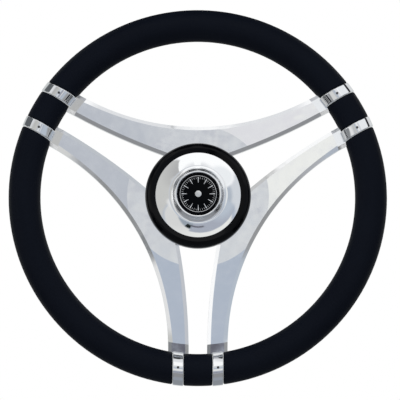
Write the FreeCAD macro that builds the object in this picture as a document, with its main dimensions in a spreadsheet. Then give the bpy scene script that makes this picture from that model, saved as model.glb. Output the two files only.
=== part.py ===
import FreeCAD, Part
import math
import os

import Sketcher
from FreeCAD import Placement, Rotation, Vector

# A boat steering wheel: a polished stainless spoke frame with six arms in three pairs, welded to a
# round bar inside a soft black rim, with a tapered hub behind and a chromed cap in front.
# Millimetres. The wheel turns about Y, its front faces -Y, +Z is up, and the origin is on the axis
# at the rear face of the hub, where the shaft taper enters.

doc = FreeCAD.newDocument("steering_wheel")

SIZES = (
    ("wheel_diameter", 350.0),
    ("grip_diameter", 29.6),
    ("grip_end_round", 1.6),
    ("core_bar_diameter", 10.0),
    ("band_spacing", 36.8),
    ("band_width", 10.0),
    ("band_stand", 0.6),
    ("band_shoulder", 0.9),
    ("band_slot_clearance", 0.25),
    ("plate_thickness", 8.0),
    ("plate_bore", 44.0),
    ("bend_circle_radius", 65.5),
    ("arm_setback", 3.1),
    ("foot_length", 8.0),
    ("foot_setback", 2.4),
    ("foot_overrun", 4.0),
    ("bevel_width", 3.3),
    ("bevel_depth", 1.9),
    ("foot_bevel_width", 3.1),
    ("foot_bevel_depth", 1.8),
    ("concave_radius", 215.0),
    ("concave_distance", 64.8),
    ("slot_end_distance", 38.0),
    ("slot_half_width", 8.5),
    ("slot_narrow_distance", 145.0),
    ("slot_side_radius", 560.0),
    ("tang_width", 8.0),
    ("tang_thickness", 7.0),
    ("tang_root", 1.0),
    ("boss_length", 30.0),
    ("boss_diameter", 46.0),
    ("flange_diameter", 73.0),
    ("flange_thickness", 8.0),
    ("boss_spigot_height", 5.0),
    ("boss_fit", 0.1),
    ("boss_rim_chamfer", 1.0),
    ("taper_mouth_diameter", 19.05),
    ("taper_length", 20.0),
    ("taper_ratio", 12.0),
    ("nut_recess_diameter", 32.0),
    ("keyway_width", 4.76),
    ("keyway_depth", 2.3),
    ("screw_clearance", 0.2),
    ("hub_screw_circle", 58.0),
    ("hub_screw_diameter", 6.0),
    ("hub_screw_head", 12.0),
    ("hub_screw_length", 14.0),
    ("hub_screw_socket", 4.0),
    ("hub_screw_socket_depth", 2.2),
    ("bezel_outer_diameter", 97.7),
    ("bezel_ring_width", 9.6),
    ("bezel_height", 12.0),
    ("bezel_wall_height", 4.5),
    ("bezel_crown_inset", 5.5),
    ("bezel_round", 7.9),
    ("bezel_lip_drop", 1.2),
    ("bezel_screw_inset", 4.75),
    ("bezel_screw_diameter", 4.0),
    ("bezel_screw_head", 7.0),
    ("bezel_screw_head_height", 2.2),
    ("bezel_screw_depth", 6.0),
    ("bezel_screw_socket", 2.5),
    ("bezel_screw_socket_depth", 1.4),
    ("bezel_hole_spare", 0.5),
    ("cap_wall", 1.4),
    ("cap_fit", 0.1),
    ("cap_flange_rise", 3.0),
    ("cap_flange_radius", 60.0),
    ("cap_valley_diameter", 54.4),
    ("cap_hollow_radius", 5.2),
    ("cap_boss_diameter", 43.6),
    ("cap_boss_height", 6.0),
    ("cap_boss_straight", 0.9),
    ("cap_skirt_depth", 7.0),
    ("badge_diameter", 39.2),
    ("badge_thickness", 2.4),
    ("badge_dome", 0.6),
    ("badge_recess", 1.0),
)

sizes = doc.addObject("Spreadsheet::Sheet", "sizes")
for row, (alias, size) in enumerate(SIZES, 1):
    sizes.set(f"A{row}", alias)
    sizes.set(f"B{row}", str(size))
    sizes.setAlias(f"B{row}", alias)
doc.recompute()

# Where things lie, worked out from the sizes
PITCH = "((sizes.wheel_diameter - sizes.grip_diameter) / 2)"
PLATE_REAR = "(-sizes.boss_length)"
PLATE_FRONT = "(-(sizes.boss_length + sizes.plate_thickness))"
ARM_DROP = "(sizes.arm_setback + sizes.foot_setback)"
RIM_PLANE = f"({PLATE_REAR} - sizes.plate_thickness / 2 + {ARM_DROP})"
RIM_INSIDE = f"({PITCH} - sizes.grip_diameter / 2)"
FOOT_START = f"({RIM_INSIDE} - sizes.foot_length)"
BAND_ANGLE = f"asin(sizes.band_spacing / 2 / {PITCH})"
BAND_NEAR = "((sizes.band_spacing - sizes.band_width) / 2)"
BAND_FAR = "((sizes.band_spacing + sizes.band_width) / 2)"
BEZEL_FRONT = f"({PLATE_FRONT} - sizes.bezel_height)"
BEZEL_INSIDE = "(sizes.bezel_outer_diameter / 2 - sizes.bezel_ring_width)"
BEZEL_SCREW_CIRCLE = "(sizes.bezel_outer_diameter - 2 * sizes.bezel_screw_inset)"
CAP_EDGE = f"({BEZEL_FRONT} + sizes.bezel_lip_drop)"
CAP_VALLEY = f"({CAP_EDGE} - sizes.cap_flange_rise)"
CAP_TOP = f"({CAP_VALLEY} - sizes.cap_boss_height)"
BADGE_FRONT = f"({CAP_TOP} + sizes.badge_recess)"
BADGE_SEAT = f"({BADGE_FRONT} + sizes.badge_thickness)"
SPIGOT = "(sizes.plate_bore / 2 - sizes.boss_fit)"
FLANGE_REAR = f"({PLATE_REAR} + sizes.flange_thickness)"
HUB_SCREWS = 6
BEZEL_SCREWS = 3

# The three pairs of arms, and the arms of each pair: name, the pair's angle, and 1 for the arm on
# the clockwise side of the pair's axis, seen from the front, or -1 for the other
PAIRS = (("right", "30 deg"), ("left", "150 deg"), ("bottom", "270 deg"))
ARMS = (
    ("right_lower", "30 deg", 1),
    ("right_upper", "30 deg", -1),
    ("left_upper", "150 deg", 1),
    ("left_lower", "150 deg", -1),
    ("bottom_left", "270 deg", 1),
    ("bottom_right", "270 deg", -1),
)


def number(expression):
    """The value of an expression on the sheet."""
    found = sizes.evalExpression(expression)
    return float(getattr(found, "Value", found))


def new_body(label):
    body = doc.addObject("PartDesign::Body", label)
    body.Label = label
    return body


def new_sketch(body, name, role):
    """A sketch on one of the body's own origin planes."""
    sketch = body.newObject("Sketcher::SketchObject", name)
    plane = next(item for item in body.Origin.OriginFeatures if item.Role == role)
    sketch.AttachmentSupport = [(plane, "")]
    sketch.MapMode = "FlatFace"
    return sketch


def axis_of(body, role):
    return next(item for item in body.Origin.OriginFeatures if item.Role == role)


def tie(sketch, constraint, expression):
    """Add a dimension and bind it to the sheet."""
    index = sketch.addConstraint(constraint)
    sketch.setExpression(f"Constraints[{index}]", expression)


def pin(sketch, edge, end, x, y):
    """Hold one point of the sketch at a place given by two expressions."""
    tie(sketch, Sketcher.Constraint("DistanceX", -1, 1, edge, end, number(x)), x)
    tie(sketch, Sketcher.Constraint("DistanceY", -1, 1, edge, end, number(y)), y)


def arc_through(start, finish, radius, left):
    """An arc from start to finish, with its centre to the left or right of the way there."""
    chord = finish - start
    middle = (start + finish) / 2
    height = math.sqrt(max(radius**2 - (chord.Length / 2) ** 2, 0.0))
    across = Vector(-chord.y, chord.x, 0).normalize() * (height if left else -height)
    centre = middle + across
    first = math.atan2(start.y - centre.y, start.x - centre.x)
    last = math.atan2(finish.y - centre.y, finish.x - centre.x)
    if not left:
        first, last = last, first
    if last < first:
        last += 2 * math.pi
    return Part.ArcOfCircle(Part.Circle(centre, Vector(0, 0, 1), radius), first, last)


def draw_outline(sketch, corners):
    """A closed outline. A corner is (x, y), or (x, y, radius, side) where an arc leads to it."""
    places = [Vector(number(corner[0]), number(corner[1]), 0) for corner in corners]
    ends = []
    for index, corner in enumerate(corners):
        start = places[index - 1]
        finish = places[index]
        if len(corner) == 2:
            edge = sketch.addGeometry(Part.LineSegment(start, finish), False)
            ends.append((edge, 1, 2))
            continue
        left = corner[3] == "left"
        arc = arc_through(start, finish, number(corner[2]), left)
        edge = sketch.addGeometry(arc, False)
        ends.append((edge, 1, 2) if left else (edge, 2, 1))
    for index, corner in enumerate(corners):
        edge, first, last = ends[index]
        next_edge, next_first, _ = ends[(index + 1) % len(corners)]
        sketch.addConstraint(Sketcher.Constraint("Coincident", edge, last, next_edge, next_first))
        pin(sketch, edge, last, corner[0], corner[1])
        if len(corner) > 2:
            tie(sketch, Sketcher.Constraint("Radius", edge, number(corner[2])), corner[2])


def draw_circle(sketch, x, y, diameter):
    circle = Part.Circle(Vector(number(x), number(y), 0), Vector(0, 0, 1), number(diameter) / 2)
    edge = sketch.addGeometry(circle, False)
    pin(sketch, edge, 3, x, y)
    tie(sketch, Sketcher.Constraint("Diameter", edge, number(diameter)), diameter)


def revolve(body, name, sketch, kind="PartDesign::Revolution", angle="360"):
    """Turn a side section, drawn as (along the axis, out from it), about the wheel's axis."""
    feature = body.newObject(kind, name)
    feature.Profile = sketch
    feature.ReferenceAxis = (sketch, ["H_Axis"])
    feature.Midplane = True
    feature.setExpression("Angle", angle)
    return feature


def pocket_through(body, name, sketch):
    feature = body.newObject("PartDesign::Pocket", name)
    feature.Profile = sketch
    feature.Type = 1
    feature.Midplane = True
    return feature


def pattern(body, name, feature, copies):
    """Repeat a feature round the wheel's axis."""
    polar = body.newObject("PartDesign::PolarPattern", name)
    polar.Originals = [feature]
    polar.Axis = (axis_of(body, "Y_Axis"), [""])
    polar.Angle = 360
    polar.Occurrences = copies
    body.Tip = polar
    return polar


def slot_half_width(distance):
    """Half the slot's width at a distance from the wheel's axis."""
    side = "sizes.slot_side_radius"
    away = f"(sizes.slot_narrow_distance - {distance})"
    return f"(sizes.slot_half_width + {side} - sqrt({side} ^ 2 - {away} ^ 2))"


def cut_between_arms(body):
    """Cut the three hand openings and the three slots out of a turned blank."""
    opening = new_sketch(body, f"{body.Name}_opening", "XZ_Plane")
    centre = "(sizes.concave_distance + sizes.concave_radius)"
    corner = f"({centre} - sqrt(sizes.concave_radius ^ 2 - {PITCH} ^ 2))"
    draw_outline(
        opening,
        [
            (f"-{PITCH}", corner),
            (PITCH, corner, "sizes.concave_radius", "left"),
            (PITCH, "sizes.wheel_diameter"),
            (f"-{PITCH}", "sizes.wheel_diameter"),
        ],
    )
    cut = pocket_through(body, f"{body.Name}_opening_cut", opening)
    pattern(body, f"{body.Name}_openings", cut, 3)

    slot = new_sketch(body, f"{body.Name}_slot", "XZ_Plane")
    inner_half = slot_half_width("sizes.slot_end_distance")
    outer_half = slot_half_width(PITCH)
    draw_outline(
        slot,
        [
            (f"-{inner_half}", "-sizes.slot_end_distance", "sizes.slot_side_radius", "left"),
            (inner_half, "-sizes.slot_end_distance"),
            (outer_half, f"-{PITCH}", "sizes.slot_side_radius", "left"),
            (f"-{outer_half}", f"-{PITCH}"),
        ],
    )
    cut = pocket_through(body, f"{body.Name}_slot_cut", slot)
    cuts = pattern(body, f"{body.Name}_slots", cut, 3)
    doc.recompute()
    return cuts


def add_bevel(body, feature, stations, width, depth):
    """Bevel the long front edges, wider on the front face than down the side walls. Stations are
    the front face's (distance out, place) corners."""
    for name, flipped in (("bevel", False), ("second_bevel", True)):
        shape = feature.Shape
        edges = []
        for index, edge in enumerate(shape.Edges, 1):
            middle = edge.valueAt((edge.FirstParameter + edge.LastParameter) / 2)
            faces = shape.ancestorsOfType(edge, Part.Face)
            slopes = [abs(face.normalAt(*face.Surface.parameter(middle)).y) for face in faces]
            meets_wall = len(slopes) == 2 and min(slopes) < 0.01
            if not meets_wall or (slopes[0] < slopes[1]) != flipped:
                continue
            if is_long_front_edge(edge, middle, stations):
                edges.append(f"Edge{index}")
        if not edges:
            continue
        bevel = body.newObject("PartDesign::Chamfer", f"{body.Name}_{name}")
        bevel.Base = (feature, edges)
        bevel.ChamferType = "Two distances"
        bevel.FlipDirection = flipped
        bevel.setExpression("Size", width)
        bevel.setExpression("Size2", depth)
        body.Tip = bevel
        doc.recompute()
        feature = bevel


def is_long_front_edge(edge, middle, stations):
    """True for the front face's edges along the arms, outside the hub."""
    ends = [vertex.Point for vertex in edge.Vertexes]
    reach = [math.hypot(point.x, point.z) for point in ends + [middle]]
    on_front = all(
        abs(point.y - height_at(out, stations)) < 0.01 for point, out in zip(ends, reach)
    )
    past_hub = min(reach) > number("sizes.slot_end_distance") + 0.1
    return on_front and past_hub and max(reach) - min(reach) > 0.05


def height_at(out, stations):
    """The front face's place along the axis at a distance out from it."""
    for (near, first), (far, last) in zip(stations, stations[1:]):
        if near - 0.001 <= out <= far + 0.001:
            return first + (last - first) * (out - near) / (far - near)
    return math.inf


def build_frame_plate():
    """The flat plate round the hub and the arms that lean back from it."""
    body = new_body("frame_plate")
    side = new_sketch(body, "plate_side", "YZ_Plane")
    front = [
        (PLATE_FRONT, "(sizes.plate_bore / 2)"),
        (PLATE_FRONT, "sizes.bend_circle_radius"),
        (f"({PLATE_FRONT} + sizes.arm_setback)", FOOT_START),
    ]
    rear = [(f"({along} + sizes.plate_thickness)", out) for along, out in reversed(front)]
    draw_outline(side, front + rear)
    revolve(body, "plate_blank", side)
    cuts = cut_between_arms(body)
    stations = [(number(out), number(along)) for along, out in front]
    add_bevel(body, cuts, stations, "sizes.bevel_width", "sizes.bevel_depth")
    countersink(body, "hub_screw_hole")
    clearance = "(sizes.bezel_screw_diameter + 2 * sizes.screw_clearance)"
    drill(body, "bezel_screw_hole", BEZEL_SCREW_CIRCLE, clearance, BEZEL_SCREWS)
    return body


def build_frame_feet():
    """The short feet at the arms' ends, which turn further back to meet the rim."""
    body = new_body("frame_feet")
    side = new_sketch(body, "feet_side", "YZ_Plane")
    end = f"({RIM_INSIDE} + sizes.foot_overrun)"
    slope = "(sizes.foot_setback / sizes.foot_length)"
    start_height = f"({PLATE_FRONT} + sizes.arm_setback)"
    front = [
        (start_height, FOOT_START),
        (f"({start_height} + {slope} * (sizes.foot_length + sizes.foot_overrun))", end),
    ]
    rear = [(f"({along} + sizes.plate_thickness)", out) for along, out in reversed(front)]
    draw_outline(side, front + rear)
    revolve(body, "feet_blank", side)
    cuts = cut_between_arms(body)
    stations = [(number(out), number(along)) for along, out in front]
    add_bevel(body, cuts, stations, "sizes.foot_bevel_width", "sizes.foot_bevel_depth")
    return body


def drill(body, name, circle, diameter, copies):
    """A ring of plain holes right through, the first one straight above the axis."""
    sketch = new_sketch(body, f"{name}_sketch", "XZ_Plane")
    draw_circle(sketch, "0", f"({circle} / 2)", diameter)
    hole = pocket_through(body, name, sketch)
    return pattern(body, f"{name}_ring", hole, copies)


def countersink(body, name):
    """The six countersunk holes for the hub screws, from the plate's front face."""
    sketch = new_sketch(body, f"{name}_sketch", "XZ_Plane")
    sketch.setExpression("AttachmentOffset.Base.z", f"-{PLATE_FRONT}")
    draw_circle(sketch, "0", "(sizes.hub_screw_circle / 2)", "sizes.hub_screw_diameter")
    doc.recompute()
    hole = body.newObject("PartDesign::Hole", name)
    hole.Profile = sketch
    hole.Threaded = False
    hole.DepthType = "ThroughAll"
    hole.setExpression("Diameter", "(sizes.hub_screw_diameter + 2 * sizes.screw_clearance)")
    hole.HoleCutType = "Countersink"
    hole.setExpression("HoleCutDiameter", "(sizes.hub_screw_head + sizes.screw_clearance)")
    hole.HoleCutCountersinkAngle = 90
    return pattern(body, f"{name}_ring", hole, HUB_SCREWS)


def build_tang(label, angle, side):
    """A flat tongue from an arm's end, through the band's slot, to the bar inside the rim."""
    body = new_body(label)
    sketch = new_sketch(body, f"{label}_side", "YZ_Plane")
    offset = "(sizes.band_spacing / 2)"
    sketch.setExpression("AttachmentOffset.Base.z", f"{side} * {offset}")
    front = f"({RIM_PLANE} - sizes.tang_thickness / 2)"
    rear = f"({RIM_PLANE} + sizes.tang_thickness / 2)"
    root = f"(sqrt({RIM_INSIDE} ^ 2 - {offset} ^ 2) - sizes.tang_root)"
    tip = f"sqrt({PITCH} ^ 2 - {offset} ^ 2)"
    draw_outline(sketch, [(front, root), (front, tip), (rear, tip), (rear, root)])
    pad = body.newObject("PartDesign::Pad", f"{label}_pad")
    pad.Profile = sketch
    pad.Midplane = True
    pad.setExpression("Length", "sizes.tang_width")
    turn_to(body, angle)
    return body


def turn_to(body, angle):
    """Turn a piece that was drawn straight above the axis to its angle on the wheel."""
    body.Placement = Placement(Vector(0, 0, 0), Rotation(Vector(0, 1, 0), 90 - number(angle)))
    body.setExpression("Placement.Rotation.Angle", f"90 deg - ({angle})")


def build_ring(label, diameter):
    """A round ring in the plane of the rim."""
    ring = doc.addObject("Part::Torus", label)
    ring.Label = label
    ring.Placement = Placement(Vector(0, 0, 0), Rotation(Vector(1, 0, 0), 90))
    ring.setExpression("Placement.Base.y", RIM_PLANE)
    ring.setExpression("Radius1", PITCH)
    ring.setExpression("Radius2", f"{diameter} / 2")
    return ring


def cut_away(label, base, tool):
    cut = doc.addObject("Part::Cut", label)
    cut.Label = label
    cut.Base = base
    cut.Tool = tool
    return cut


def build_spoke_frame():
    """One piece of metal: plate, arms and feet, seated on the grips, with tangs to the bar."""
    joined = doc.addObject("Part::Fuse", "frame_joined")
    joined.Base = build_frame_plate()
    joined.Tool = build_frame_feet()
    joined.Refine = True
    seated = cut_away("frame_seated", joined, build_ring("grip_seat", "sizes.grip_diameter"))
    whole = doc.addObject("Part::MultiFuse", "frame_whole")
    tangs = [build_tang(f"tang_{name}", angle, side) for name, angle, side in ARMS]
    whole.Shapes = [seated] + tangs
    return cut_away("spoke_frame", whole, build_ring("bar_seat", "sizes.core_bar_diameter"))


def build_grip(label, angle, span, cuts):
    """A length of the soft skin round the bar, with its ends softened."""
    body = new_body(label)
    section = new_sketch(body, f"{label}_section", "YZ_Plane")
    draw_circle(section, RIM_PLANE, PITCH, "sizes.grip_diameter")
    draw_circle(section, RIM_PLANE, PITCH, "sizes.core_bar_diameter")
    revolve(body, f"{label}_length", section, angle=span)
    trim_ends(body, cuts, "sizes.grip_diameter", "sizes.grip_end_round")
    turn_to(body, angle)
    return body


def trim_ends(body, cuts, diameter, end_round):
    """Cut a length of the rim parallel to the arms' pairs and round the outer edges there. A cut
    (turn, start, end) takes away what lies from one offset to the other beside a pair's axis,
    which is turned clockwise from straight up. Its start is the piece's end face."""
    for number_of_cut, (turn, start, end) in enumerate(cuts, 1):
        strip = new_sketch(body, f"{body.Name}_strip_{number_of_cut}", "XZ_Plane")
        corners = []
        for out, offset in (
            (f"({PITCH} / 2)", start),
            (f"({PITCH} / 2)", end),
            ("sizes.wheel_diameter", end),
            ("sizes.wheel_diameter", start),
        ):
            x = f"({out} * sin({turn}) + {offset} * cos({turn}))"
            corners.append((x, f"({out} * cos({turn}) - {offset} * sin({turn}))"))
        draw_outline(strip, corners)
        trimmed = pocket_through(body, f"{body.Name}_trim_{number_of_cut}", strip)
    doc.recompute()
    lines = [(math.radians(turn), number(start)) for turn, start, _ in cuts]
    edges = []
    for index, edge in enumerate(trimmed.Shape.Edges, 1):
        if is_end_edge(edge, lines, number(diameter) / 2):
            edges.append(f"Edge{index}")
    ends = body.newObject("PartDesign::Fillet", f"{body.Name}_ends")
    ends.Base = (trimmed, edges)
    ends.setExpression("Radius", end_round)
    body.Tip = ends


def is_end_edge(edge, lines, tube_radius):
    """True for an edge on the rim's outside that lies in one of the end faces."""
    first, last = edge.ParameterRange
    points = [edge.valueAt(first + (last - first) * share) for share in (0.0, 0.3, 0.7, 1.0)]
    for point in points:
        from_pitch = math.hypot(point.x, point.z) - number(PITCH)
        from_plane = point.y - number(RIM_PLANE)
        if abs(math.hypot(from_pitch, from_plane) - tube_radius) > 0.01:
            return False
    for turn, offset in lines:
        beside = [point.x * math.cos(turn) - point.z * math.sin(turn) for point in points]
        if all(abs(place - offset) < 0.01 for place in beside):
            return True
    return False


def build_band(label, angle, side):
    """A chromed collar, open at its inner side where the arm's tang goes through."""
    body = new_body(label)
    section = new_sketch(body, f"{label}_section", "YZ_Plane")
    diameter = "(sizes.grip_diameter + 2 * sizes.band_stand)"
    outer = f"({diameter} / 2)"
    inner = "(sizes.core_bar_diameter / 2)"
    half = "(sizes.plate_thickness / 2 + sizes.band_slot_clearance)"
    outer_lip = f"({PITCH} - sqrt({outer} ^ 2 - {half} ^ 2))"
    inner_lip = f"({PITCH} - sqrt({inner} ^ 2 - {half} ^ 2))"
    front = f"({RIM_PLANE} - {half})"
    rear = f"({RIM_PLANE} + {half})"
    corners = [
        (front, outer_lip),
        (RIM_PLANE, f"({PITCH} + {outer})", outer, "right"),
        (rear, outer_lip, outer, "right"),
        (rear, inner_lip),
        (RIM_PLANE, f"({PITCH} + {inner})", inner, "left"),
        (front, inner_lip, inner, "left"),
    ]
    draw_outline(section, corners)
    revolve(body, f"{label}_length", section, angle=f"4 * {BAND_ANGLE}")
    cuts = (
        (0, f"({side} * {BAND_NEAR})", f"({-side} * 2 * sizes.band_spacing)"),
        (0, f"({side} * {BAND_FAR})", f"({side} * 2 * sizes.band_spacing)"),
    )
    trim_ends(body, cuts, diameter, "sizes.band_shoulder")
    turn_to(body, angle)
    return body


def build_hub_boss():
    """The hub behind the plate: a keyed taper, a recess for the nut, and a spigot in front."""
    body = new_body("hub_boss")
    side = new_sketch(body, "boss_side", "YZ_Plane")
    mouth = "(sizes.taper_mouth_diameter / 2)"
    throat = f"({mouth} - sizes.taper_length / (2 * sizes.taper_ratio))"
    spigot_end = f"({PLATE_REAR} - sizes.boss_spigot_height)"
    recess = "(sizes.nut_recess_diameter / 2)"
    corners = [
        ("0", mouth),
        ("0", "sizes.boss_diameter / 2"),
        (FLANGE_REAR, "sizes.boss_diameter / 2"),
        (FLANGE_REAR, SPIGOT),
        (spigot_end, SPIGOT),
        (spigot_end, recess),
        ("-sizes.taper_length", recess),
        ("-sizes.taper_length", throat),
    ]
    draw_outline(side, corners)
    blank = revolve(body, "boss_blank", side)
    chamfer_rim(body, "boss_rim", blank, "0", "sizes.boss_diameter / 2")
    doc.recompute()
    before = body.Shape.Volume
    keyway = new_sketch(body, "keyway_end", "XZ_Plane")
    half = "(sizes.keyway_width / 2)"
    top = f"({mouth} + sizes.keyway_depth)"
    draw_outline(keyway, [(f"-{half}", "0"), (half, "0"), (half, top), (f"-{half}", top)])
    cut = body.newObject("PartDesign::Pocket", "keyway")
    cut.Profile = keyway
    cut.Reversed = True
    cut.setExpression("Length", "sizes.taper_length")
    doc.recompute()
    if body.Shape.Volume > before - 1:
        raise RuntimeError("the keyway cuts nothing")
    return body


def build_hub_flange():
    """The threaded ring on the boss's shoulder, which the hub screws draw against the plate."""
    body = new_body("hub_flange")
    side = new_sketch(body, "flange_side", "YZ_Plane")
    outer = "(sizes.flange_diameter / 2)"
    corners = [(FLANGE_REAR, SPIGOT), (FLANGE_REAR, outer), (PLATE_REAR, outer), (PLATE_REAR, SPIGOT)]
    draw_outline(side, corners)
    blank = revolve(body, "flange_blank", side)
    chamfer_rim(body, "flange_rim", blank, FLANGE_REAR, outer)
    drill(body, "flange_thread", "sizes.hub_screw_circle", "sizes.hub_screw_diameter", HUB_SCREWS)
    return body


def chamfer_rim(body, name, feature, along, out):
    """Chamfer the circle about the wheel's axis at a place along it and a distance out."""
    doc.recompute()
    rim = body.newObject("PartDesign::Chamfer", name)
    rim.Base = (feature, ring_edges(feature.Shape, along, out))
    rim.setExpression("Size", "sizes.boss_rim_chamfer")
    body.Tip = rim


def ring_edges(shape, along, out):
    """The circles about the wheel's axis at a place along it and a distance out."""
    names = []
    for index, edge in enumerate(shape.Edges, 1):
        if edge.Curve.TypeId != "Part::GeomCircle":
            continue
        near = abs(edge.Curve.Center.y - number(along)) < 0.001
        if near and abs(edge.Curve.Radius - number(out)) < 0.001:
            names.append(f"Edge{index}")
    return names


def build_screws(label, copies, circle, section, head, into_front, socket, socket_depth):
    """A ring of turned screws with hexagon sockets. The section is (along, out from the screw)."""
    body = new_body(label)
    centre = f"({circle} / 2)"
    side = new_sketch(body, f"{label}_side", "YZ_Plane")
    draw_outline(side, [(along, f"({centre} + {out})") for along, out in section])
    start = Vector(number(section[0][0]), number(centre), 0)
    finish = Vector(number(section[-1][0]), number(centre), 0)
    middle = side.addGeometry(Part.LineSegment(start, finish), True)
    pin(side, middle, 1, section[0][0], centre)
    pin(side, middle, 2, section[-1][0], centre)
    turned = body.newObject("PartDesign::Revolution", f"{label}_turned")
    turned.Profile = side
    turned.ReferenceAxis = (side, ["Axis0"])
    turned.Angle = 360
    doc.recompute()
    end = new_sketch(body, f"{label}_socket_end", "XZ_Plane")
    end.setExpression("AttachmentOffset.Base.z", f"-{head}")
    radius = f"({socket} / sqrt(3))"
    corners = []
    for corner in range(6):
        angle = 60 * corner
        corners.append((f"({radius} * cos({angle}))", f"({centre} + {radius} * sin({angle}))"))
    draw_outline(end, corners)
    cut = body.newObject("PartDesign::Pocket", f"{label}_socket")
    cut.Profile = end
    cut.Reversed = not into_front
    cut.setExpression("Length", socket_depth)
    doc.recompute()
    if cut.Shape.Volume > turned.Shape.Volume - 1:
        raise RuntimeError(f"{label} has no sockets")
    polar = pattern(body, f"{label}_ring", turned, copies)
    polar.Originals = [turned, cut]
    return body


def build_hub_screws():
    """Countersunk, flush with the plate's front face, threaded into the hub's flange."""
    shank = "(sizes.hub_screw_diameter / 2)"
    head = "(sizes.hub_screw_head / 2)"
    end = f"({PLATE_FRONT} + sizes.hub_screw_length)"
    section = [
        (PLATE_FRONT, "0"),
        (PLATE_FRONT, head),
        (f"({PLATE_FRONT} + {head} - {shank})", shank),
        (end, shank),
        (end, "0"),
    ]
    circle = "sizes.hub_screw_circle"
    depth = "sizes.hub_screw_socket_depth"
    return build_screws(
        "hub_screws", HUB_SCREWS, circle, section, PLATE_FRONT, True, "sizes.hub_screw_socket", depth
    )


def build_bezel_screws():
    """Pan heads against the plate's rear face, threaded forward into the bezel."""
    shank = "(sizes.bezel_screw_diameter / 2)"
    head = "(sizes.bezel_screw_head / 2)"
    head_end = f"({PLATE_REAR} + sizes.bezel_screw_head_height)"
    end = f"({PLATE_FRONT} - sizes.bezel_screw_depth)"
    section = [
        (head_end, "0"),
        (head_end, head),
        (PLATE_REAR, head),
        (PLATE_REAR, shank),
        (end, shank),
        (end, "0"),
    ]
    socket = "sizes.bezel_screw_socket"
    depth = "sizes.bezel_screw_socket_depth"
    return build_screws(
        "bezel_screws",
        BEZEL_SCREWS,
        BEZEL_SCREW_CIRCLE,
        section,
        head_end,
        False,
        socket,
        depth,
    )


def build_hub_bezel():
    """The round-shouldered ring in front of the plate, which the cap is pressed into."""
    body = new_body("hub_bezel")
    side = new_sketch(body, "bezel_side", "YZ_Plane")
    outer = "(sizes.bezel_outer_diameter / 2)"
    crown = f"({outer} - sizes.bezel_crown_inset)"
    shoulder = f"({PLATE_FRONT} - sizes.bezel_wall_height)"
    corners = [
        (PLATE_FRONT, BEZEL_INSIDE),
        (PLATE_FRONT, outer),
        (shoulder, outer),
        (BEZEL_FRONT, crown, "sizes.bezel_round", "left"),
        (CAP_EDGE, BEZEL_INSIDE),
    ]
    draw_outline(side, corners)
    revolve(body, "bezel_ring", side)
    doc.recompute()
    before = body.Shape.Volume
    holes = new_sketch(body, "bezel_holes_end", "XZ_Plane")
    holes.setExpression("AttachmentOffset.Base.z", f"-{PLATE_FRONT}")
    draw_circle(holes, "0", f"({BEZEL_SCREW_CIRCLE} / 2)", "sizes.bezel_screw_diameter")
    cut = body.newObject("PartDesign::Pocket", "bezel_hole")
    cut.Profile = holes
    cut.Reversed = True
    cut.setExpression("Length", "(sizes.bezel_screw_depth + sizes.bezel_hole_spare)")
    pattern(body, "bezel_holes", cut, BEZEL_SCREWS)
    doc.recompute()
    if body.Shape.Volume > before - 1:
        raise RuntimeError("the bezel has no screw holes")
    return body


def build_cap_shell():
    """A pressed and polished cap: skirt, flaring flange, hollow, and a boss with a round lip."""
    body = new_body("cap_shell")
    side = new_sketch(body, "cap_side", "YZ_Plane")
    wall = "sizes.cap_wall"
    outer = f"({BEZEL_INSIDE} - sizes.cap_fit)"
    skirt_end = f"({CAP_EDGE} + sizes.cap_skirt_depth)"
    valley = "(sizes.cap_valley_diameter / 2)"
    boss = "(sizes.cap_boss_diameter / 2)"
    pocket = "(sizes.badge_diameter / 2 + sizes.cap_fit)"
    lip = f"(({boss} - {pocket}) / 2)"
    lip_base = f"({CAP_TOP} + {lip})"
    boss_base = f"({lip_base} + sizes.cap_boss_straight)"
    corners = [
        (skirt_end, f"({outer} - {wall})"),
        (skirt_end, outer),
        (CAP_EDGE, outer),
        (CAP_VALLEY, valley, "sizes.cap_flange_radius", "right"),
        (boss_base, boss, "sizes.cap_hollow_radius", "right"),
        (lip_base, boss),
        (lip_base, pocket, f"({lip} * 1.02)", "left"),
        (BADGE_SEAT, pocket),
        (BADGE_SEAT, "0"),
        (f"({BADGE_SEAT} + {wall})", "0"),
        (f"({BADGE_SEAT} + {wall})", f"({boss} - {wall})"),
        (f"({CAP_VALLEY} + {wall})", f"({valley} - {wall} / 2)"),
        (f"({CAP_EDGE} + {wall})", f"({outer} - {wall})"),
    ]
    draw_outline(side, corners)
    revolve(body, "cap_pressing", side)
    return body


def build_badge_disc():
    """The glossy disc in the boss, a little domed."""
    body = new_body("badge_disc")
    side = new_sketch(body, "badge_side", "YZ_Plane")
    edge = "(sizes.badge_diameter / 2)"
    dome = f"(({edge} ^ 2 + sizes.badge_dome ^ 2) / (2 * sizes.badge_dome))"
    crest = f"({BADGE_FRONT} - sizes.badge_dome)"
    corners = [
        (BADGE_SEAT, "0"),
        (BADGE_SEAT, edge),
        (BADGE_FRONT, edge),
        (crest, "0", dome, "left"),
    ]
    draw_outline(side, corners)
    revolve(body, "badge_turned", side)
    return body


def faults():
    """Every object that failed to build, by name."""
    found = []
    for item in doc.Objects:
        if "Invalid" in item.State or "Error" in item.State:
            found.append(f"{item.Label} {item.State}")
    return found


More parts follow.
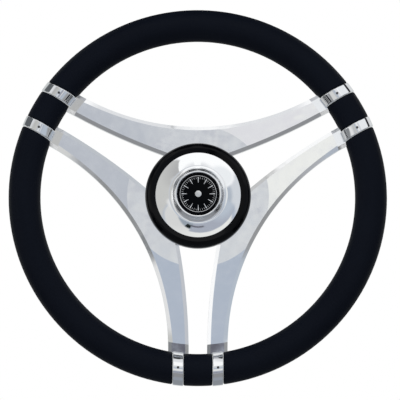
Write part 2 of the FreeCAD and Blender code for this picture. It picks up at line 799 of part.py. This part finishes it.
nodes = [
    build_spoke_frame(),
    build_ring("rim_core_ring", "sizes.core_bar_diameter"),
]
long_cuts = ((60, f"(-{BAND_FAR})", "sizes.band_width"), (-60, BAND_FAR, "(-sizes.band_width)"))
for label, angle in (("upper", "90 deg"), ("lower_left", "210 deg"), ("lower_right", "330 deg")):
    nodes.append(build_grip(f"rim_grip_{label}", angle, "120 deg", long_cuts))
short_cuts = (
    (0, BAND_NEAR, "sizes.band_spacing"),
    (0, f"(-{BAND_NEAR})", "(-sizes.band_spacing)"),
)
for label, angle in PAIRS:
    nodes.append(build_grip(f"rim_grip_short_{label}", angle, f"2 * {BAND_ANGLE}", short_cuts))
for label, angle, side in ARMS:
    nodes.append(build_band(f"rim_band_{label}", angle, side))
nodes += [
    build_hub_boss(),
    build_hub_flange(),
    build_hub_screws(),
    build_hub_bezel(),
    build_bezel_screws(),
    build_cap_shell(),
    build_badge_disc(),
]
doc.recompute()

problems = faults()
for node in nodes:
    if node.Shape.isNull() or not node.Shape.isValid():
        problems.append(f"{node.Label} has a bad shape")
if problems:
    raise RuntimeError(f"faults in the model: {problems}")

os.makedirs("parts", exist_ok=True)
for node in nodes:
    node.Shape.exportStep(f"parts/{node.Label}.step")
    print(node.Label, len(node.Shape.Solids), round(node.Shape.Volume, 1))
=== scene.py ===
import math

import bmesh
import bpy
from mathutils import Matrix, Vector


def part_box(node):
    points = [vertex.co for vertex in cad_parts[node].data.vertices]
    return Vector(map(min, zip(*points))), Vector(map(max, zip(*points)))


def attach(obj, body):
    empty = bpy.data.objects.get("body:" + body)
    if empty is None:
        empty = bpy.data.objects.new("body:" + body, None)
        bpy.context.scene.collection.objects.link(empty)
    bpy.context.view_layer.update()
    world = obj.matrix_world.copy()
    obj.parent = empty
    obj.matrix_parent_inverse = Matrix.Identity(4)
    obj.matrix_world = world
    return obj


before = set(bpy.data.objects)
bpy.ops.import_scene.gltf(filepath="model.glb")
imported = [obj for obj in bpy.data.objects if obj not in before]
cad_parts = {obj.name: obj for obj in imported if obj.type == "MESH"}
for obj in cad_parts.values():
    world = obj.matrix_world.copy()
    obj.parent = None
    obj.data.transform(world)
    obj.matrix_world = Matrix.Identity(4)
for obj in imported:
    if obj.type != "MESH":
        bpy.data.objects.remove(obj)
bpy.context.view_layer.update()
MM = 0.001

# Places on the wheel, in metres, read from the frame. Y is the wheel's axis and its face looks along -Y.
BADGE_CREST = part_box("badge_disc")[0].y
BADGE_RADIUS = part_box("badge_disc")[1].x
RIM_LOW, RIM_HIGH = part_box("rim_grip_upper")
RIM_RADIUS = RIM_HIGH.z
GRIP_RADIUS = (RIM_HIGH.y - RIM_LOW.y) / 2
RIM_PLANE = (RIM_HIGH.y + RIM_LOW.y) / 2

# Where the cap is duller, in the groove about its boss, as distances out from the axis
GROOVE_INNER = 21.6 * MM
GROOVE_OUTER = 24.4 * MM
GROOVE_EDGE = 0.3 * MM


class Wire:
    """A shader socket that can be used in sums. Maths on wires adds Math nodes to their tree."""

    def __init__(self, tree, socket):
        self.tree = tree
        self.socket = socket

    def maths(self, operation, *others):
        inputs = {index + 1: other for index, other in enumerate(others)}
        return self.tree.node("ShaderNodeMath", {"operation": operation}, {0: self, **inputs})

    def __add__(self, other):
        return self.maths("ADD", other)

    def __sub__(self, other):
        return self.maths("SUBTRACT", other)

    def __mul__(self, other):
        return self.maths("MULTIPLY", other)

    def __pow__(self, other):
        return self.maths("POWER", other)

    def __neg__(self):
        return self * -1.0

    __radd__ = __add__

    def __rsub__(self, other):
        return self.tree.node("ShaderNodeMath", {"operation": "SUBTRACT"}, {0: other, 1: self})

    def step(self, low, high):
        """0 below low and 1 above high, with a smooth change between."""
        settings = {"interpolation_type": "SMOOTHSTEP"}
        return self.tree.node("ShaderNodeMapRange", settings, {0: self, 1: low, 2: high, 3: 0.0, 4: 1.0})

    def ramp(self, low, high):
        """0 below low and 1 above high, with an even change between."""
        return self.tree.node("ShaderNodeMapRange", {}, {0: self, 1: low, 2: high, 3: 0.0, 4: 1.0})


class Tree:
    """The nodes of one material or world."""

    def __init__(self, owner):
        owner.use_nodes = True
        self.nodes = owner.node_tree.nodes
        self.links = owner.node_tree.links
        self.nodes.clear()

    def node(self, kind, settings, inputs, output=0):
        """Add a node: its settings first, then its sockets' values or links. Gives one output."""
        made = self.nodes.new(kind)
        for name, value in settings.items():
            setattr(made, name, value)
        for name, value in inputs.items():
            if isinstance(value, Wire):
                self.links.new(value.socket, made.inputs[name])
            else:
                made.inputs[name].default_value = value
        return Wire(self, made.outputs[output]) if made.outputs else None

    def place(self):
        """The place on the piece, in metres."""
        return self.node("ShaderNodeTexCoord", {}, {}, "Object")

    def parts(self, vector):
        """The three numbers of a vector."""
        split = self.nodes.new("ShaderNodeSeparateXYZ")
        self.links.new(vector.socket, split.inputs[0])
        return [Wire(self, output) for output in split.outputs]

    def noise(self, vector, scale, detail=2.0, roughness=0.5):
        inputs = {"Vector": vector, "Scale": scale, "Detail": detail, "Roughness": roughness}
        return self.node("ShaderNodeTexNoise", {}, inputs, "Fac")

    def mix(self, share, first, second):
        """A colour between two colours."""
        settings = {"data_type": "RGBA"}
        return self.node("ShaderNodeMix", settings, {0: share, 6: first, 7: second}, 2)

    def stretched(self, vector, scale):
        """The vector times three numbers."""
        return self.node("ShaderNodeVectorMath", {"operation": "MULTIPLY"}, {0: vector, 1: scale})

    def bump(self, height, strength, distance):
        inputs = {"Height": height, "Strength": strength, "Distance": distance}
        return self.node("ShaderNodeBump", {}, inputs, "Normal")

    def finish(self, **sockets):
        """The surface itself. Sockets are named as on the shader, with _ for a space."""
        inputs = {name.replace("_", " "): value for name, value in sockets.items()}
        shader = self.node("ShaderNodeBsdfPrincipled", {}, inputs, "BSDF")
        self.node("ShaderNodeOutputMaterial", {}, {"Surface": shader})


def between(wire, low, high, soft):
    """1 from low to high and 0 outside, with soft edges."""
    return wire.step(low - soft, low + soft) * (1.0 - wire.step(high - soft, high + soft))


def new_material(name):
    material = bpy.data.materials.new(name)
    return material, Tree(material)


def grey(value, blue=0.0):
    """A plain grey, a little bluer or warmer."""
    return (value * (1 - blue), value, value * (1 + blue), 1.0)


def polished_stainless():
    """Mirror polish with the faint waves and wipe marks that the buffing wheel leaves."""
    material, tree = new_material("polished_stainless")
    place = tree.place()
    waves = tree.noise(place, 38.0, 2.0)
    wipes = tree.noise(tree.stretched(place, (240.0, 240.0, 900.0)), 1.0, 3.0)
    haze = tree.noise(place, 95.0, 3.0, 0.6)
    rough = 0.06 + haze.step(0.35, 0.75) * 0.07 + wipes.step(0.55, 0.8) * 0.03
    colour = tree.mix(haze, grey(0.80, 0.008), grey(0.86, 0.012))
    normal = tree.bump(waves, 0.16, 0.0016)
    tree.finish(Base_Color=colour, Metallic=1.0, Roughness=rough, Normal=normal)
    return material


def plated_chrome(name, level, groove=0.0):
    """Bright plated chrome. A groove above 0 makes it that much duller in the cap's groove."""
    material, tree = new_material(name)
    place = tree.place()
    across, along, up = tree.parts(place)
    out = (across * across + up * up) ** 0.5
    haze = tree.noise(place, 120.0, 3.0, 0.6)
    colour = tree.mix(haze, grey(level, 0.01), grey(level * 1.05, 0.015))
    normal = tree.bump(tree.noise(place, 60.0, 2.0), 0.05, 0.001)
    in_groove = between(out, GROOVE_INNER, GROOVE_OUTER, GROOVE_EDGE)
    rough = 0.035 + haze.step(0.4, 0.8) * 0.05 + in_groove * groove
    tree.finish(Base_Color=colour, Metallic=1.0, Roughness=rough, Normal=normal)
    return material


def soft_skin():
    """The grips' soft black skin, with a fine even grain."""
    material, tree = new_material("soft_black_skin")
    place = tree.place()
    cells = tree.node(
        "ShaderNodeTexVoronoi", {"feature": "F1"}, {"Vector": place, "Scale": 1500.0}, "Distance"
    )
    grain = cells * 0.6 + tree.noise(place, 900.0, 3.0) * 0.4
    patches = tree.noise(place, 30.0, 3.0)
    colour = tree.mix(patches, (0.0026, 0.0038, 0.0078, 1.0), (0.0044, 0.0062, 0.0112, 1.0))
    rough = 0.42 + patches.step(0.3, 0.7) * 0.08 + cells * 0.05
    normal = tree.bump(grain, 0.35, 0.00012)
    tree.finish(
        Base_Color=colour, Roughness=rough, Normal=normal, Specular_IOR_Level=0.055, IOR=1.45
    )
    return material


def gloss_black(name, marks, shine):
    """Hard black gloss, with faint marks of handling."""
    material, tree = new_material(name)
    place = tree.place()
    haze = tree.noise(place, 140.0, 4.0, 0.65)
    rough = 0.10 + haze.step(0.45, 0.8) * marks
    colour = tree.mix(haze, (0.0009, 0.0010, 0.0016, 1.0), (0.0018, 0.0020, 0.0030, 1.0))
    normal = tree.bump(tree.noise(place, 70.0, 2.0), 0.04, 0.001)
    tree.finish(Base_Color=colour, Roughness=rough, Normal=normal, Specular_IOR_Level=shine)
    return material


def turned_aluminium():
    """The hub's turned surface: fine rings about the wheel's axis."""
    material, tree = new_material("turned_aluminium")
    place = tree.place()
    across, along, up = tree.parts(place)
    out = (across * across + up * up) ** 0.5
    rings = tree.noise(
        tree.node("ShaderNodeCombineXYZ", {}, {0: out * 2600.0, 1: along * 2600.0, 2: 0.0}), 1.0, 2.0
    )
    haze = tree.noise(place, 60.0, 3.0)
    colour = tree.mix(haze, grey(0.62, 0.006), grey(0.72, 0.01))
    normal = tree.bump(rings, 0.22, 0.00006)
    tree.finish(
        Base_Color=colour, Metallic=1.0, Roughness=0.26 + rings * 0.12 + haze * 0.06, Normal=normal
    )
    return material


def plain_steel(name, level, roughness):
    """Unpolished steel, for the bar inside the rim and the screws."""
    material, tree = new_material(name)
    place = tree.place()
    grain = tree.noise(place, 700.0, 4.0, 0.6)
    haze = tree.noise(place, 90.0, 3.0)
    colour = tree.mix(haze, grey(level * 0.9), grey(level * 1.06, 0.01))
    normal = tree.bump(grain, 0.2, 0.0001)
    tree.finish(Base_Color=colour, Metallic=1.0, Roughness=roughness + grain * 0.14, Normal=normal)
    return material


def badge_silver():
    """The dial ring's bright metal print."""
    material, tree = new_material("dial_silver")
    place = tree.place()
    haze = tree.noise(place, 400.0, 3.0)
    colour = tree.mix(haze, grey(0.55, 0.01), grey(0.80, 0.01))
    tree.finish(Base_Color=colour, Metallic=1.0, Roughness=0.22 + haze * 0.12)
    return material


def dress(node, material):
    """Give a node of the frame its finish."""
    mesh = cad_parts[node].data
    mesh.materials.clear()
    mesh.materials.append(material)


def dress_wheel():
    """Give every node its finish. The grips, the bezel and the bar inside the rim stay out of the
    metal's reflections.
    """
    steel = polished_stainless()
    band = plated_chrome("band_plate", 0.80)
    skin = soft_skin()
    screw = plain_steel("screw_surface", 0.58, 0.22)
    turned = turned_aluminium()
    finishes = {
        "spoke_frame": steel,
        "rim_core_ring": plain_steel("bar_surface", 0.5, 0.3),
        "hub_boss": turned,
        "hub_flange": turned,
        "hub_screws": screw,
        "bezel_screws": screw,
        "hub_bezel": gloss_black("bezel_gloss", 0.10, 0.11),
        "cap_shell": plated_chrome("cap_plate", 0.84, 0.22),
        "badge_disc": gloss_black("badge_gloss", 0.05, 0.035),
    }
    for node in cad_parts:
        if node.startswith("rim_grip"):
            finishes[node] = skin
        elif node.startswith("rim_band"):
            finishes[node] = band
    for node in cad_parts:
        dress(node, finishes[node])
        if finishes[node] is skin or node in ("hub_bezel", "rim_core_ring"):
            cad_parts[node].visible_glossy = False


# The dial on the badge, in millimetres
DIAL_TICKS = 48
DIAL_OUTER = 15.4
DIAL_LONG = 6.0
DIAL_SHORT = 1.9
DIAL_LONG_WIDTH = 1.0
DIAL_SHORT_WIDTH = 0.34
DIAL_HEIGHT = 0.12
DIAL_SINK = 0.05
DIAL_BUTTON = 3.0
DIAL_BUTTON_RISE = 0.25
DIAL_RING = 16.7
DIAL_RING_WIDTH = 0.4
BADGE_DOME = 0.6


def badge_height(out):
    """The badge's front face at a distance out from the axis, both in metres."""
    dome = BADGE_DOME * MM
    curve = (BADGE_RADIUS**2 + dome**2) / (2 * dome)
    return BADGE_CREST + curve - math.sqrt(curve**2 - out**2)


def new_piece(name, shape, material):
    """Make the finished bmesh an object that rides on the wheel."""
    mesh = bpy.data.meshes.new(name)
    bmesh.ops.recalc_face_normals(shape, faces=shape.faces)
    shape.to_mesh(mesh)
    shape.free()
    mesh.materials.append(material)
    piece = bpy.data.objects.new(name, mesh)
    bpy.context.scene.collection.objects.link(piece)
    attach(piece, "root")


def dial_ring(shape, radius, width):
    """A thin raised ring on the badge, by turning its section about the axis."""
    inner = radius - width / 2
    outer = radius + width / 2
    rise = DIAL_HEIGHT
    corners = [
        (inner, badge_height(inner * MM) / MM + DIAL_SINK),
        (outer, badge_height(outer * MM) / MM + DIAL_SINK),
        (outer, badge_height(outer * MM) / MM - rise * 0.5),
        (radius, badge_height(radius * MM) / MM - rise),
        (inner, badge_height(inner * MM) / MM - rise * 0.5),
    ]
    loop = [shape.verts.new((out * MM, along * MM, 0)) for out, along in corners]
    edges = [shape.edges.new((a, b)) for a, b in zip(loop, loop[1:] + loop[:1])]
    bmesh.ops.spin(
        shape,
        geom=loop + edges,
        cent=(0, 0, 0),
        axis=(0, 1, 0),
        angle=2 * math.pi,
        steps=96,
        use_merge=True,
    )


def dial_tick(shape, angle, start, end, width):
    """A slim raised bar that tapers towards the axis."""
    middle = (start + end) / 2
    centre = badge_height(middle * MM) - (DIAL_HEIGHT / 2 - DIAL_SINK) * MM
    made = bmesh.ops.create_cube(shape, size=1.0)
    verts = made["verts"]
    bmesh.ops.scale(shape, vec=(width * MM, DIAL_HEIGHT * MM, (end - start) * MM), verts=verts)
    for vert in verts:
        if vert.co.z < 0:
            vert.co.x *= 0.25
    bmesh.ops.translate(shape, vec=(0, centre, middle * MM), verts=verts)
    bmesh.ops.rotate(shape, cent=(0, 0, 0), matrix=Matrix.Rotation(angle, 3, "Y"), verts=verts)


def dial_button(shape):
    """The small domed button in the middle of the dial."""
    seat = badge_height(0) / MM + DIAL_SINK
    corners = [(0, seat), (DIAL_BUTTON, seat)]
    for turn in (20, 45, 70, 90):
        angle = math.radians(turn)
        corners.append((DIAL_BUTTON * math.cos(angle), seat - DIAL_BUTTON_RISE * math.sin(angle)))
    loop = [shape.verts.new((out * MM, along * MM, 0)) for out, along in corners]
    edges = [shape.edges.new((a, b)) for a, b in zip(loop, loop[1:])]
    bmesh.ops.spin(
        shape,
        geom=loop + edges,
        cent=(0, 0, 0),
        axis=(0, 1, 0),
        angle=2 * math.pi,
        steps=48,
        use_merge=True,
    )
    bmesh.ops.remove_doubles(shape, verts=shape.verts, dist=0.002 * MM)


def build_dial():
    """The badge's dial: a ring, ticks pointing at the axis, and a small button in the middle."""
    silver = badge_silver()
    shape = bmesh.new()
    for index in range(DIAL_TICKS):
        long = index % 4 == 0
        length = DIAL_LONG if long else DIAL_SHORT
        width = DIAL_LONG_WIDTH if long else DIAL_SHORT_WIDTH
        angle = 2 * math.pi * index / DIAL_TICKS
        dial_tick(shape, angle, DIAL_OUTER - length, DIAL_OUTER, width)
    new_piece("dial_ticks", shape, silver)
    shape = bmesh.new()
    dial_ring(shape, DIAL_RING, DIAL_RING_WIDTH)
    new_piece("dial_ring", shape, silver)
    shape = bmesh.new()
    dial_button(shape)
    new_piece("dial_button", shape, silver)


# The small set screw in the middle of each band's face, in millimetres
SCREW_RADIUS = 1.2
SCREW_STAND = 0.16
SCREW_EDGE = 0.15
SCREW_SOCKET = 0.62
SCREW_SOCKET_FLOOR = 0.03
SCREW_SINK = 0.1
SCREW_SIDES = 24


def band_places():
    """The middle of each band's front face, in metres."""
    low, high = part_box("rim_band_bottom_left")
    offset = -(low.x + high.x) / 2
    out = math.sqrt((RIM_RADIUS - GRIP_RADIUS) ** 2 - offset**2)
    for pair in (30, 150, 270):
        turn = math.radians(pair)
        for side in (1, -1):
            x = out * math.cos(turn) + side * offset * math.sin(turn)
            z = out * math.sin(turn) - side * offset * math.cos(turn)
            yield Vector((x, low.y, z))


def add_set_screw(shape, place):
    """A chamfered disc with a hexagon socket."""
    rings = []
    sixth = math.pi / 3
    outline = (
        (SCREW_RADIUS, SCREW_SINK),
        (SCREW_RADIUS, SCREW_EDGE - SCREW_STAND),
        (SCREW_RADIUS - SCREW_EDGE, -SCREW_STAND),
        (SCREW_SOCKET, -SCREW_STAND),
        (SCREW_SOCKET, -SCREW_SOCKET_FLOOR),
    )
    for index, (radius, along) in enumerate(outline):
        ring = []
        for corner in range(SCREW_SIDES):
            turn = 2 * math.pi * corner / SCREW_SIDES
            reach = radius
            if index > 2:
                reach = radius * math.cos(sixth / 2) / math.cos(turn % sixth - sixth / 2)
            spot = Vector((reach * math.cos(turn), along, reach * math.sin(turn))) * MM
            ring.append(shape.verts.new(place + spot))
        rings.append(ring)
    for inner, outer in zip(rings, rings[1:]):
        for corner in range(SCREW_SIDES):
            after = (corner + 1) % SCREW_SIDES
            shape.faces.new((inner[corner], inner[after], outer[after], outer[corner]))
    shape.faces.new(rings[0])
    shape.faces.new(rings[-1])


def build_set_screws():
    """One set screw in the face of each band, all as one piece."""
    shape = bmesh.new()
    for place in band_places():
        add_set_screw(shape, place)
    material = plain_steel("dark_screw_surface", 0.10, 0.3)
    new_piece("band_set_screws", shape, material)


# The studio: the wheel hangs in a pale room. The world gives white behind the wheel, and the polished
# metal mirrors the room. Each area of the room is a share, from 0 to 1 by the direction, and its
# tone, and a later area covers the earlier ones. The parts of a direction are across to the right,
# along to the back and up. A flat front face mirrors what lies ahead, with across and up near 0.
class Room:
    """The direction from the wheel into the room, by its parts."""

    def __init__(self, tree):
        self.tree = tree
        way = tree.node("ShaderNodeTexCoord", {}, {}, "Generated")
        self.across, self.along, self.up = tree.parts(way)
        self.left = -self.across
        self.down = -self.up
        self.aside = (self.across * self.across) ** 0.5


def ahead_areas(room):
    """The wall ahead, which the flat plate and the arms mirror."""
    across, up = room.across, room.up
    wall = room.tree.mix(across.ramp(-0.07, 0.11), (0.57, 0.60, 0.66, 1.0), (1.02, 1.025, 0.99, 1.0))
    return (
        (up.step(0.04, 0.11), wall),
        (across.step(0.03, 0.07) * up.step(0.165, 0.185), (0.87, 0.865, 0.90, 1.0)),
        (
            between(up, 0.123, 0.143, 0.005) * between(across, -0.01, 0.034, 0.008),
            (0.60, 0.62, 0.68, 1.0),
        ),
        (
            between(across, 0.13, 0.28, 0.03) * between(up, -0.12, 0.05, 0.02),
            (0.38, 0.39, 0.45, 1.0),
        ),
    )


def wall_areas(room):
    """White overhead, a greyer wall to the right and a beige one to the left."""
    across, up, left = room.across, room.up, room.left
    beige = room.tree.mix(up.ramp(0.22, 0.5), (0.64, 0.64, 0.62, 1.0), (0.50, 0.50, 0.50, 1.0))
    beige_edge = (left * 0.65 - up).step(-0.36, -0.34)
    return (
        (up.step(0.25, 0.31), (1.15, 1.15, 1.15, 1.0)),
        (across.step(0.18, 0.26) * between(up, -0.02, 0.27, 0.03), (0.72, 0.75, 0.79, 1.0)),
        (across.step(0.24, 0.34) * up.step(0.24, 0.34), (0.96, 0.98, 1.0, 1.0)),
        (across.step(0.48, 0.60) * between(up, -0.3, 0.27, 0.04), (0.49, 0.54, 0.61, 1.0)),
        (across.step(0.31, 0.35) * up.step(0.68, 0.76), (0.60, 0.63, 0.67, 1.0)),
        (between(left, 0.40, 0.60, 0.015) * between(up, 0.70, 0.80, 0.015), (0.55, 0.55, 0.54, 1.0)),
        (left.step(0.14, 0.17) * up.step(-0.10, -0.02) * beige_edge, beige),
        (left.step(0.44, 0.60) * up.step(0.34, 0.48), (0.85, 0.86, 0.88, 1.0)),
    )


def floor_areas(room):
    """The pale floor in front, and the bluish shade that the cap shows at its lower right."""
    across, up, down, left, aside = room.across, room.up, room.down, room.left, room.aside
    near = room.tree.mix(across.ramp(-0.24, 0.0), (0.76, 0.76, 0.75, 1.0), (0.92, 0.92, 0.895, 1.0))
    shade = room.tree.mix(across.ramp(0.3, 0.5), (0.437, 0.467, 0.543, 1.0), (0.54, 0.60, 0.68, 1.0))
    ring = ((across + 0.04) ** 2.0 + (up - 0.14) ** 2.0) ** 0.5
    return (
        (down.step(0.06, 0.10), near),
        (left.step(0.5, 0.62) * between(up, -0.26, 0.02, 0.04), (0.90, 0.90, 0.90, 1.0)),
        (ring.step(0.43, 0.47) * across.step(-0.11, -0.09) * down.step(-0.04, 0.04), shade),
        (left.step(0.08, 0.10) * down.step(0.34, 0.40), (0.36, 0.41, 0.47, 1.0)),
        (aside.step(0.42, 0.5) * down.step(0.30, 0.36), (0.50, 0.51, 0.54, 1.0)),
        (across.step(0.50, 0.68) * between(down, 0.24, 0.42, 0.03), (0.36, 0.365, 0.37, 1.0)),
        (left.step(0.44, 0.58) * between(down, 0.33, 0.42, 0.03), (0.32, 0.325, 0.33, 1.0)),
        (left.step(0.74, 0.78) * between(down, 0.22, 0.42, 0.03), (0.27, 0.28, 0.29, 1.0)),
        (down.step(0.52, 0.60), (0.31, 0.315, 0.33, 1.0)),
        (down.step(0.86, 0.94), (0.33, 0.36, 0.41, 1.0)),
    )


def small_areas(room):
    """The dark spot under the cap's boss, the shade on the bottom feet, and the sides."""
    across, up, down, left, aside = room.across, room.up, room.down, room.left, room.aside
    return (
        (
            between(left, 0.11, 0.20, 0.01) * between(down, 0.37, 0.47, 0.02),
            (0.01, 0.015, 0.015, 1.0),
        ),
        (
            between(down, 0.445, 0.485, 0.010) * (1.0 - aside.step(0.11, 0.13)),
            (0.14, 0.14, 0.17, 1.0),
        ),
        (between(aside, 0.06, 0.30, 0.02) * up.step(0.60, 0.72), (0.88, 0.89, 0.91, 1.0)),
        (left.step(0.74, 0.80) * between(up, -0.12, 0.3, 0.05), (1.15, 1.15, 1.15, 1.0)),
        (across.step(0.74, 0.80) * between(up, -0.12, 0.3, 0.05), (0.62, 0.64, 0.68, 1.0)),
    )


def back_areas(room):
    """What lies beside and behind the wheel, which the bands and the cap's boss mirror."""
    across, along, up = room.across, room.along, room.up
    down, left, aside = room.down, room.left, room.aside
    behind = along.step(0.24, 0.32)
    low_corner = down.step(0.33, 0.37) * (aside * 0.9 - down).step(0.0, 0.05)
    return (
        (behind, (0.66, 0.68, 0.68, 1.0)),
        (behind * up.step(0.30, 0.36) * across.step(0.3, 0.36), (0.80, 0.81, 0.82, 1.0)),
        (between(along, -0.08, 0.26, 0.03) * up.step(-0.3, -0.2), (0.03, 0.03, 0.035, 1.0)),
        (
            along.step(-0.46, -0.40) * between(left, 0.66, 0.90, 0.03) * between(up, 0.41, 0.70, 0.03),
            (0.13, 0.14, 0.15, 1.0),
        ),
        (along.step(-0.05, 0.05) * down.step(0.42, 0.5), (0.29, 0.31, 0.34, 1.0)),
        (along.step(-0.36, -0.28) * (up - aside * 2.0).step(0.0, 0.1), (0.03, 0.032, 0.036, 1.0)),
        (
            between(along, -0.42, -0.2, 0.02) * between(aside, 0.098, 0.28, 0.006) * up.step(0.88, 0.90),
            (0.05, 0.055, 0.06, 1.0),
        ),
        (between(along, -0.50, 0.55, 0.04) * low_corner, (0.02, 0.022, 0.026, 1.0)),
    )


def foot_areas(room):
    """Light places that keep the sides of the arms' feet free of hard black marks."""
    along, up, down, aside = room.along, room.up, room.down, room.aside
    beside = between(aside, 0.795, 0.845, 0.005) * between(down, 0.46, 0.54, 0.008)
    above = between(aside, -0.1, 0.09, 0.006) * up.step(0.93, 0.94)
    return (
        (
            between(aside, 0.793, 0.834, 0.005) * between(down, 0.368, 0.456, 0.005),
            (0.90, 0.90, 0.90, 1.0),
        ),
        (between(along, -0.30, -0.26, 0.008) * beside, (0.80, 0.81, 0.83, 1.0)),
        (between(along, -0.34, -0.13, 0.02) * above, (0.62, 0.63, 0.66, 1.0)),
    )


def build_world():
    """The room's tones for the metal to mirror, and white for the camera."""
    world = bpy.data.worlds.new("pale_studio")
    bpy.context.scene.world = world
    tree = Tree(world)
    room = Room(tree)
    low_wall = (0.50, 0.56, 0.66, 1.0)
    colour = low_wall
    for group in (ahead_areas, wall_areas, floor_areas, small_areas, back_areas, foot_areas):
        for share, tone in group(room):
            colour = tree.mix(share, colour, tone)
    camera = tree.node("ShaderNodeLightPath", {}, {}, "Is Camera Ray")
    shown = tree.mix(camera, colour, (1.0, 1.0, 1.0, 1.0))
    surface = tree.node("ShaderNodeBackground", {}, {"Color": shown, "Strength": 1.0})
    tree.node("ShaderNodeOutputWorld", {}, {"Surface": surface})


# The camera, in metres and degrees. The picture's side in pixels, the pixels per millimetre and the
# pixel that the wheel's middle falls on are as in the photograph.
CAMERA_DISTANCE = 5.5
CAMERA_ELEVATION = -6.8
CAMERA_AZIMUTH = -0.8
PICTURE = 400
PIXELS_PER_MM = 1.0814
MIDDLE_X = 197.84
MIDDLE_Y = 197.48
SENSOR = 36.0


def build_camera():
    """A long lens a little below the wheel's axis and to its left, as in the photograph."""
    elevation = math.radians(CAMERA_ELEVATION)
    azimuth = math.radians(CAMERA_AZIMUTH)
    data = bpy.data.cameras.new("camera")
    camera = bpy.data.objects.new("camera", data)
    bpy.context.scene.collection.objects.link(camera)
    bpy.context.scene.camera = camera
    width = PICTURE / PIXELS_PER_MM * MM
    data.sensor_width = SENSOR
    data.lens = data.sensor_width * CAMERA_DISTANCE / width
    data.clip_start = 0.1
    data.clip_end = 50.0
    centre = Vector((0, RIM_PLANE, 0))
    back = Vector(
        (
            math.sin(azimuth) * math.cos(elevation),
            -math.cos(azimuth) * math.cos(elevation),
            math.sin(elevation),
        )
    )
    look = (-back).to_track_quat("-Z", "Y")
    right = look @ Vector((1, 0, 0))
    up = look @ Vector((0, 1, 0))
    to_right = (PICTURE / 2 - MIDDLE_X) / PIXELS_PER_MM * MM
    to_top = (MIDDLE_Y - PICTURE / 2) / PIXELS_PER_MM * MM
    aim = centre + right * to_right + up * to_top
    camera.rotation_mode = "QUATERNION"
    camera.rotation_quaternion = look
    camera.location = aim + back * CAMERA_DISTANCE


FLOOR_HALF = 6.0
FLOOR_HEIGHT = -0.95


def build_floor():
    """A pale floor well below the wheel."""
    shape = bmesh.new()
    bmesh.ops.create_grid(shape, x_segments=1, y_segments=1, size=FLOOR_HALF)
    bmesh.ops.translate(shape, vec=(0, 0, FLOOR_HEIGHT), verts=shape.verts)
    mesh = bpy.data.meshes.new("floor")
    shape.to_mesh(mesh)
    shape.free()
    floor = bpy.data.objects.new("floor", mesh)
    bpy.context.scene.collection.objects.link(floor)
    material, tree = new_material("pale_floor")
    tree.finish(
        Base_Color=grey(0.86),
        Roughness=0.9,
        Specular_IOR_Level=0.1,
        Emission_Color=grey(0.18),
        Emission_Strength=1.0,
    )
    mesh.materials.append(material)
    floor.visible_glossy = False


LAMP_PLACE = (-0.7, -1.5, 2.2)
LAMP_SIZE = 1.6
LAMP_POWER = 22.0


def build_lamps():
    """One broad lamp above and in front, soft enough to leave no hard shadow."""
    data = bpy.data.lights.new("key_lamp", "AREA")
    data.shape = "DISK"
    data.size = LAMP_SIZE
    data.energy = LAMP_POWER
    lamp = bpy.data.objects.new("key_lamp", data)
    bpy.context.scene.collection.objects.link(lamp)
    lamp.location = LAMP_PLACE
    lamp.rotation_mode = "QUATERNION"
    lamp.rotation_quaternion = (-lamp.location).to_track_quat("-Z", "Y")
    lamp.visible_glossy = False


dress_wheel()
build_dial()
build_set_screws()
build_world()
build_camera()
build_floor()
build_lamps()
bpy.context.scene.view_settings.view_transform = "Standard"
